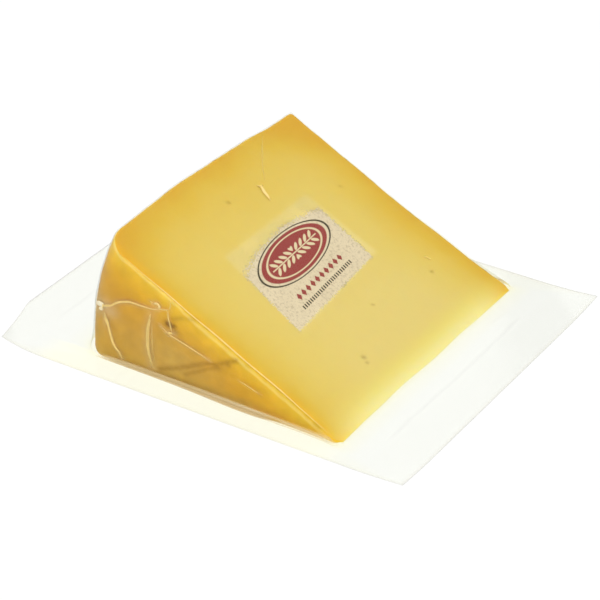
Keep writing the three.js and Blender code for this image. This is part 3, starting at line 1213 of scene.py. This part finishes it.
@dataclass(frozen=True)
class FilmSheet:
    """What the two films share: their rectangle, its three curled corners and its levels.

    A curl is the corner's two signs, its reach, how far it rises and how far it is drawn in.
    """

    length: float = 159.0
    width: float = 128.0
    thickness: float = 0.1
    base_level: float = 0.18
    flange_level: float = 0.36
    edge_reach: float = 0.55
    curls: tuple[tuple[int, int, float, float, float], ...] = (
        (1, -1, 15.0, 0.8, 0.0),
        (-1, -1, 17.0, 2.2, 8.0),
        (1, 1, 16.0, 1.1, 0.0),
    )

    def curl(self, points: Array) -> Array:
        """Return places of the flat rectangle with three of its corners curled.

        Past a diagonal fold, a place rises by the square of its share of the corner's reach,
        and is drawn in by that share.
        """
        moved = points.copy()
        for side_x, side_y, reach, lift, draw in self.curls:
            from_end = np.abs(side_x * self.length / 2 - points[..., 0])
            from_front = np.abs(side_y * self.width / 2 - points[..., 1])
            share = np.clip(reach - (from_end + from_front) / math.sqrt(2), 0, None) / reach
            moved[..., 0] -= side_x * draw * share
            moved[..., 2] += lift * share**2
        return moved

    def edge_share(self, points: Array) -> Array:
        """Return 1 at the rectangle's edge, and 0 inside.

        It is e to the minus distance from the edge, over its reach.
        """
        from_end = self.length / 2 - np.abs(points[..., 0])
        from_front = self.width / 2 - np.abs(points[..., 1])
        return np.exp(-np.clip(np.minimum(from_end, from_front), 0, None) / self.edge_reach)

    def give_wall(self, piece: bpy.types.Object) -> None:
        """Give a piece that is one open surface the film's thickness, inwards."""
        wall = piece.modifiers.new("wall", "SOLIDIFY")
        wall.thickness = self.thickness * MM
        wall.offset = -1.0


@dataclass(frozen=True)
class BaseFilm:
    """The flat film under the cheese."""

    sheet: FilmSheet = FilmSheet()
    steps_x: int = 110
    steps_y: int = 90

    def build(self) -> bpy.types.Object:
        """Build and dress the base film: a flat grid with low swells and curled corners."""
        xs = (crowded(self.steps_x, 0.8) - 0.5) * self.sheet.length
        ys = (crowded(self.steps_y, 0.8) - 0.5) * self.sheet.width
        x, y = np.meshgrid(xs, ys, indexing="ij")
        flat = np.stack([x, y, np.full_like(x, self.sheet.base_level)], axis=-1)
        edge = self.sheet.edge_share(flat)
        flat[..., 2] += 0.03 * ripple(flat, 37.0, 11)
        values = {key.value: np.zeros_like(x) for key in (Film.HAZE_AND_LIGHT, Film.FAT_AND_PAINTED_LIGHT, Film.OIL_AND_REFLECTION, Film.PAINTED_BOUNCE)}
        values[Film.EDGE.value] = edge
        piece = make_piece("base_sheet", [Patch(self.sheet.curl(flat), False, values)])
        self.sheet.give_wall(piece)
        piece.data.materials.append(bpy.data.materials["clear_film"])
        place_piece(piece, Slot.FILM, "base_film")
        return piece


@dataclass(frozen=True)
class CoverFilm:
    """The formed film over the cheese, with its flange on the base film."""

    wedge: Wedge = Wedge()
    sheet: FilmSheet = FilmSheet()
    grid: WedgeGrid = WedgeGrid(160, 58, 66, 0.6)
    offset: float = 0.3
    fat_level: float = 1.35
    fat_reach: float = 0.9
    fat_reach_at_tip: float = 0.08
    amber_within: float = 27.0
    fillet: float = 0.5
    fillet_reach: float = 0.9
    ring_steps: int = 10
    foot_steps: tuple[float, ...] = (
        *(0, 0.12, 0.25, 0.4, 0.55, 0.7, 0.85),
        *(1.0, 1.15, 1.3, 1.5, 1.8, 2.3, 3.0),
    )

    def skin(self) -> Skin:
        """Return how the film lies over the cheese: its foot meets the top of the fillet."""
        below = self.wedge.seal_level - self.sheet.flange_level - self.fillet
        return Skin(offset=self.offset, foot=1.0, below=below, rounding=0.9)

    def tints(
        self, height: Array, gone: Array, up: Array, wall: Array | float = 1.0
    ) -> dict[str, Array]:
        """Return the film's tints round its foot, each of them made of e curves.

        Fat, with a painted reflection of the cheese in the fold, fills the foot up to a level.
        Towards the tip it is as amber as the rind, with a pale line of painted light and a fine
        painted shadow line outside it.

        Args:
            height: above the foot, on the walls.
            gone: distance out from the foot, on the flange.
            up: distance from the tip edge, along the foot.
            wall: 1 where the foot's fatty band with its painted reflection may lie, and 0 on the
                cut face.
        """
        from_tip = 1 - np.exp(-up / 5.0)
        from_side = 1 - np.exp(-(self.wedge.radius - up) / 4.0)
        tipward = 1 / (1 + np.exp((up - self.amber_within) / 1.5))
        below = 1 / (1 + np.exp((height - self.fat_level) / 0.14))
        reach = self.fat_reach * (1 - tipward) + self.fat_reach_at_tip * tipward
        filled = wall * from_tip * below / (1 + np.exp((gone - reach) / 0.07))
        # A fine painted shadow line just outside the foot, near the tip.
        line = from_tip * tipward * 0.6 * bell(gone - 0.75, 0.14)
        away = height + gone
        # Painted reflected light: the cheese's yellow bounce near the foot, and a painted glow at
        # the tip and the side.
        along_rind = 0.4 * np.exp(-away / 0.6) + 0.25 * np.exp(-away / 40.0)
        painted_bounce = from_tip * from_side * along_rind + (1 - from_tip) * np.exp(-away / 2.5)
        return {
            Film.FAT_AND_PAINTED_LIGHT.value: np.maximum(filled * from_side, line * from_side),
            Film.OIL_AND_REFLECTION.value: tipward * (height > 0),
            # A pale line of painted light: the glow through the film just outside the tip's foot.
            Film.HAZE_AND_LIGHT.value: 1.2 * tipward * from_tip * bell(gone - 0.3, 0.16) * (height <= 0),
            Film.PAINTED_BOUNCE.value: painted_bounce + (1 - from_side) * 0.6 * np.exp(-away / 2.5),
        }

    def follow(self, out: Array, along: Array, turn: Array) -> Array:
        """Return how far the film stands out: the cheese's own swells and two ripples."""
        cheese = Cheese()
        under = self.wedge.point(out, along, turn, cheese.skin)
        swells = cheese.swells(under, out * self.wedge.side_radius(along * self.wedge.height))
        return swells + 0.03 * ripple(under, 17.0, 21) + 0.015 * ripple(under, 6.0, 22)

    def stand_off(self, out: Array, along: Array, turn: Array) -> tuple[Array, Array]:
        """Return how far the film is held off by its folds, and how much they whiten it with hazing
        and a painted soft highlight.

        Both are bells of the distance to the nearest fold on the near rind.
        """
        up = out * self.wedge.side_radius(along * self.wedge.height)
        x = -up * np.cos(turn * self.wedge.angle)
        z = self.wedge.seal_level + up * np.sin(turn * self.wedge.angle)
        places = np.stack([x, z], axis=-1)
        on_near = np.clip(1 - along * self.wedge.height / self.wedge.near_rim, 0, 1)
        held, haze_and_light = np.zeros_like(up), np.zeros_like(up)
        for fold in NEAR_RIND_FOLDS:
            away = distance_to_path(places, np.array(fold.path))
            held = np.maximum(held, 0.6 * fold.rise * bell(away, 1.6 * fold.width))
            # Hazing of the gathered film, and a painted soft highlight round each fold.
            haze_and_light = np.maximum(haze_and_light, 0.3 * fold.body * bell(away, 1.1 * fold.width))
        return held * on_near, haze_and_light * on_near

    def patch(self, grids: tuple[Array, Array, Array, bool]) -> Patch:
        """Return one face of the film over the cheese."""
        out, along, turn, turned = grids
        skin = self.skin()
        rest = self.wedge.point(out, along, turn, skin)
        held, haze_and_light = self.stand_off(out, along, turn)
        lift = held + self.follow(out, along, turn)
        lift = lift * np.clip(out * 20, 0, 1) * np.clip(turn * 12, 0, 1)
        height = np.clip(rest[..., 2] - self.sheet.flange_level - self.fillet, 0, None)
        values = {Film.EDGE.value: np.zeros_like(out)}
        values |= self.tints(height, 0 * height, out * self.wedge.radius, (turn < 0.99) * 1.0)
        values[Film.HAZE_AND_LIGHT.value] = np.maximum(values[Film.HAZE_AND_LIGHT.value], haze_and_light)
        return Patch(self.wedge.point(out, along, turn, skin, lift), turned, values)

    def ring(self, out: Array, along: Array, rim: Array, turned: bool) -> Patch:
        """Return one side of the flange, from the foot to the film's edge.

        A place is its share of the way from the foot to the rim: at fixed distances near the
        foot, and then closer and closer together towards the rim. It comes down from the
        foot by e to the minus distance over the fillet's reach.

        Args:
            out: of the foot's places.
            along: of the foot's places.
            rim: the places of the rectangle's edge that they lead to.
            turned: whether the faces have to be turned over.
        """
        foot = self.wedge.point(out, along, np.zeros_like(out), self.skin())
        length = np.linalg.norm((rim - foot)[:, :2], axis=-1)[:, None]
        near = np.array(self.foot_steps)[None, :]
        rest = 1 - (1 - np.linspace(0, 1, self.ring_steps + 1)[None, 1:]) ** 2
        share = np.hstack([near / length, (near[:, -1:] + (length - near[:, -1:]) * rest) / length])
        way = foot[:, None, :] + (rim - foot)[:, None, :] * share[..., None]
        gone = np.linalg.norm((way - foot[:, None, :])[..., :2], axis=-1)
        fall = np.exp(-gone / self.fillet_reach)
        settle = 1 - np.exp(-gone / 6.0)
        way[..., 2] = self.sheet.flange_level + (foot[:, None, 2] - self.sheet.flange_level) * fall
        way[..., 2] += settle * 0.05 * (1 + ripple(way, 23.0, 31))
        values = {Film.EDGE.value: self.sheet.edge_share(way)}
        values |= self.tints(0 * gone, gone, out[:, None] * self.wedge.radius)
        return Patch(self.sheet.curl(way), turned, values)

    def rings(self) -> list[Patch]:
        """Return the flange's four sides."""
        out, along = self.grid.out(), self.grid.along(self.wedge)
        half_x, half_y = self.sheet.length / 2, self.sheet.width / 2
        level = self.sheet.flange_level

        def rim(x: Array, y: Array) -> Array:
            """Return places of the rectangle's edge."""
            return np.stack(np.broadcast_arrays(x, y, level), axis=-1)

        across, lengthwise = half_x * (1 - 2 * out), half_y * (2 * along - 1)
        zero, one = np.zeros_like, np.ones_like
        return [
            self.ring(out, zero(out), rim(across, -half_y), False),
            self.ring(out, one(out), rim(across, half_y), True),
            self.ring(one(along), along, rim(-half_x, lengthwise), False),
            self.ring(zero(along), along, rim(half_x, lengthwise), True),
        ]

    def build(self) -> bpy.types.Object:
        """Build and dress the cover film."""
        faces = self.grid.faces(self.wedge)
        faces.pop("lower")
        patches = [self.patch(grids) for grids in faces.values()]
        piece = make_piece("cover_sheet", patches + self.rings())
        self.sheet.give_wall(piece)
        piece.data.materials.append(bpy.data.materials["clear_film"])
        place_piece(piece, Slot.FILM, "cover_film")
        return piece


@dataclass(frozen=True)
class FilmFolds:
    """The folds of gathered film that stand on the cover film."""

    wedge: Wedge = Wedge()
    cover: CoverFilm = CoverFilm()
    step: float = 0.5
    around: int = 10

    def on_near_rind(self, x: Array, z: Array, lift: Array) -> Array:
        """Return places over the near rind at some height above the cover film."""
        place = self.wedge.on_near_rind(x, z)
        return self.wedge.point(*place, self.cover.skin(), lift + self.cover.follow(*place))

    def on_cut_face(self, up: Array, along: Array, lift: Array) -> Array:
        """Return places over the upper cut face at some height above the cover film."""
        place = self.wedge.on_cut_face(up, along)
        return self.wedge.point(*place, self.cover.skin(), lift + self.cover.follow(*place))

    def strand(self, fold: Fold, place: Place, turned: bool) -> Patch:
        """Return a fold as a closed spindle.

        Its section is half an ellipse on the film, whose size follows the square root of a
        half sine along the path, so that both ends run out to a point.

        Args:
            fold: its path and size.
            place: gives the places on a face from its two directions and a height.
            turned: whether the faces have to be turned over.
        """
        path = smooth_path(np.array(fold.path), self.step)
        heading = np.gradient(path, axis=0)
        heading /= np.maximum(np.linalg.norm(heading, axis=1, keepdims=True), 1e-9)
        side = np.stack([-heading[:, 1], heading[:, 0]], axis=1)
        swell = np.sqrt(np.sin(np.pi * np.linspace(0, 1, len(path))))[:, None]
        angle = np.linspace(0, 2 * np.pi, self.around + 1)[None, :]
        reach = 0.5 * fold.width * swell * np.cos(angle)
        rise = fold.rise * swell * np.where(angle <= np.pi, np.sin(angle), 0.25 * np.sin(angle))
        a = path[:, :1] + side[:, :1] * reach
        b = path[:, 1:] + side[:, 1:] * reach
        body = np.broadcast_to(fold.body * np.clip(swell * 1.2, 0, 1), a.shape)
        return Patch(place(a, b, rise + 0.06), turned, {Film.HAZE_AND_LIGHT.value: body})

    def build(self) -> bpy.types.Object:
        """Build and dress the folds as one piece."""
        patches = [self.strand(fold, self.on_near_rind, False) for fold in NEAR_RIND_FOLDS]
        patches += [self.strand(fold, self.on_cut_face, False) for fold in CUT_FACE_FOLDS]
        piece = make_piece("film_folds", patches)
        make_normals_point_out(piece.data)
        piece.data.materials.append(StrandFinish().material())
        place_piece(piece, Slot.FILM)
        return piece


def make_normals_point_out(mesh: bpy.types.Mesh) -> None:
    """Turn the faces of closed bodies outwards."""
    work = bmesh.new()
    work.from_mesh(mesh)
    bmesh.ops.recalc_face_normals(work, faces=work.faces)
    work.to_mesh(mesh)
    work.free()


@dataclass(frozen=True)
class Label:
    """The printed label on the sloping cut face, stretched askew by the film."""

    wedge: Wedge = Wedge()
    corners: tuple[tuple[float, float], ...] = (
        (34.0, 24.4),
        (37.7, 74.9),
        (70.2, 77.0),
        (68.2, 28.7),
    )
    clearance: float = 0.05
    thickness: float = 0.05
    steps: int = 90

    def build(self) -> bpy.types.Object:
        """Build and dress the label.

        A place is the bilinear mix of the four corners, up the slope and along the tip,
        laid on the cheese under the film.
        """
        share = np.linspace(0, 1, self.steps + 1)
        u, v = np.meshgrid(share, share, indexing="ij")
        low_left, low_right, high_right, high_left = (np.array(c) for c in self.corners)
        mix = (1 - u) * (1 - v), u * (1 - v), u * v, (1 - u) * v
        ends = low_left, low_right, high_right, high_left
        flat = sum(weight[..., None] * corner for weight, corner in zip(mix, ends))
        place = self.wedge.on_cut_face(flat[..., 0], flat[..., 1])
        skin = Cheese().skin
        swells = Cheese().swells(self.wedge.point(*place, skin), flat[..., 0])
        points = self.wedge.point(*place, skin, swells + self.clearance)
        piece = make_piece("label_print", [Patch(points, True, {"u": u, "v": v})])
        self.map_print(piece.data)
        wall = piece.modifiers.new("wall", "SOLIDIFY")
        wall.thickness = self.thickness * MM
        wall.offset = 1.0
        piece.data.materials.append(LabelFinish().material())
        place_piece(piece, Slot.LABEL, "label")
        return piece

    def map_print(self, mesh: bpy.types.Mesh) -> None:
        """Make the label's UV map from its u and v attributes, then drop them."""
        corners = np.zeros(len(mesh.loops), dtype=np.int32)
        mesh.loops.foreach_get("vertex_index", corners)
        pair = []
        for key in ("u", "v"):
            numbers = np.zeros(len(mesh.vertices), dtype=np.float32)
            mesh.attributes[key].data.foreach_get("value", numbers)
            pair.append(numbers[corners])
        layer = mesh.uv_layers.new(name="print")
        layer.data.foreach_set("uv", np.stack(pair, axis=1).ravel())
        for key in ("u", "v"):
            mesh.attributes.remove(mesh.attributes[key])


@dataclass(frozen=True)
class Studio:
    """A white lit table, soft lights and the camera at the photograph's place, in metres."""

    target: tuple[float, float, float] = (-0.00414, 0.01055, 0.0)
    azimuth: float = 0.5661
    elevation: float = 0.5485
    distance: float = 0.86815
    lens: float = 156.0
    table_size: float = 6.0
    table_white: Colour = (0.07, 0.07, 0.07)
    table_glow: float = 0.95
    sky: float = 0.8

    def camera(self) -> None:
        """Make the camera: a long lens that looks at the target from its two angles."""
        data = bpy.data.cameras.new("camera")
        data.lens = self.lens
        data.sensor_width = 36.0
        data.clip_start, data.clip_end = 0.01, 50.0
        level = math.cos(self.elevation)
        back = Vector((0.0, 0.0, math.sin(self.elevation)))
        back.x, back.y = math.sin(self.azimuth) * level, -math.cos(self.azimuth) * level
        camera = bpy.data.objects.new("camera", data)
        camera.location = Vector(self.target) + back * self.distance
        camera.rotation_mode = "QUATERNION"
        camera.rotation_quaternion = (-back).to_track_quat("-Z", "Y")
        bpy.context.scene.collection.objects.link(camera)
        bpy.context.scene.camera = camera

    def table(self) -> None:
        """Make the table: a white sheet that glows a little, as one lit from below does."""
        half = self.table_size / 2
        corners = [(-half, -half), (half, -half), (half, half), (-half, half)]
        mesh = bpy.data.meshes.new("table")
        mesh.from_pydata([(x, y, -0.0002) for x, y in corners], [], [(0, 1, 2, 3)])
        table = bpy.data.objects.new("table", mesh)
        bpy.context.scene.collection.objects.link(table)
        bench = Bench("white_table")
        shader = bench.add("ShaderNodeBsdfPrincipled")
        settings = {
            "Base Color": self.table_white,
            "Roughness": 0.9,
            "Specular IOR Level": 0.0,
            "Emission Color": (1.0, 1.0, 1.0),
            "Emission Strength": self.table_glow,
        }
        bench.feed(shader, settings)
        mesh.materials.append(bench.show(shader))

    def soft_light(
        self, name: str, heading: Colour, distance: float, size: float, power: float
    ) -> None:
        """Make a square soft light that shines on the wedge from a heading."""
        data = bpy.data.lights.new(name, "AREA")
        data.size = size
        data.energy = power
        light = bpy.data.objects.new(name, data)
        way = Vector(heading).normalized()
        light.location = way * distance
        light.rotation_mode = "QUATERNION"
        light.rotation_quaternion = way.to_track_quat("Z", "Y")
        bpy.context.scene.collection.objects.link(light)

    def lights(self) -> None:
        """Make the sky and the soft lights, and show colours as they are."""
        scene = bpy.context.scene
        world = bpy.data.worlds.new("sky")
        world.use_nodes = True
        background = world.node_tree.nodes["Background"]
        background.inputs["Color"].default_value = (1.0, 0.995, 0.98, 1.0)
        background.inputs["Strength"].default_value = self.sky
        scene.world = world
        scene.view_settings.view_transform = "Standard"
        self.soft_light("key", (0.264, -0.456, 0.85), 1.1, 0.4, 4.5)
        self.soft_light("back", (-0.55, 0.6, 0.75), 1.2, 0.7, 2.0)

    def build(self) -> None:
        """Build the whole studio."""
        self.camera()
        self.table()
        self.lights()
        LOG.info("studio: camera, table, sky and two soft lights")


def main() -> None:
    """Build the studio and the pack's pieces in order."""
    logging.basicConfig(level=logging.INFO, format="%(message)s")
    Studio().build()
    FilmFinish().material()
    Cheese().build()
    BaseFilm().build()
    CoverFilm().build()
    FilmFolds().build()
    Label().build()


if __name__ == "__main__":
    main()
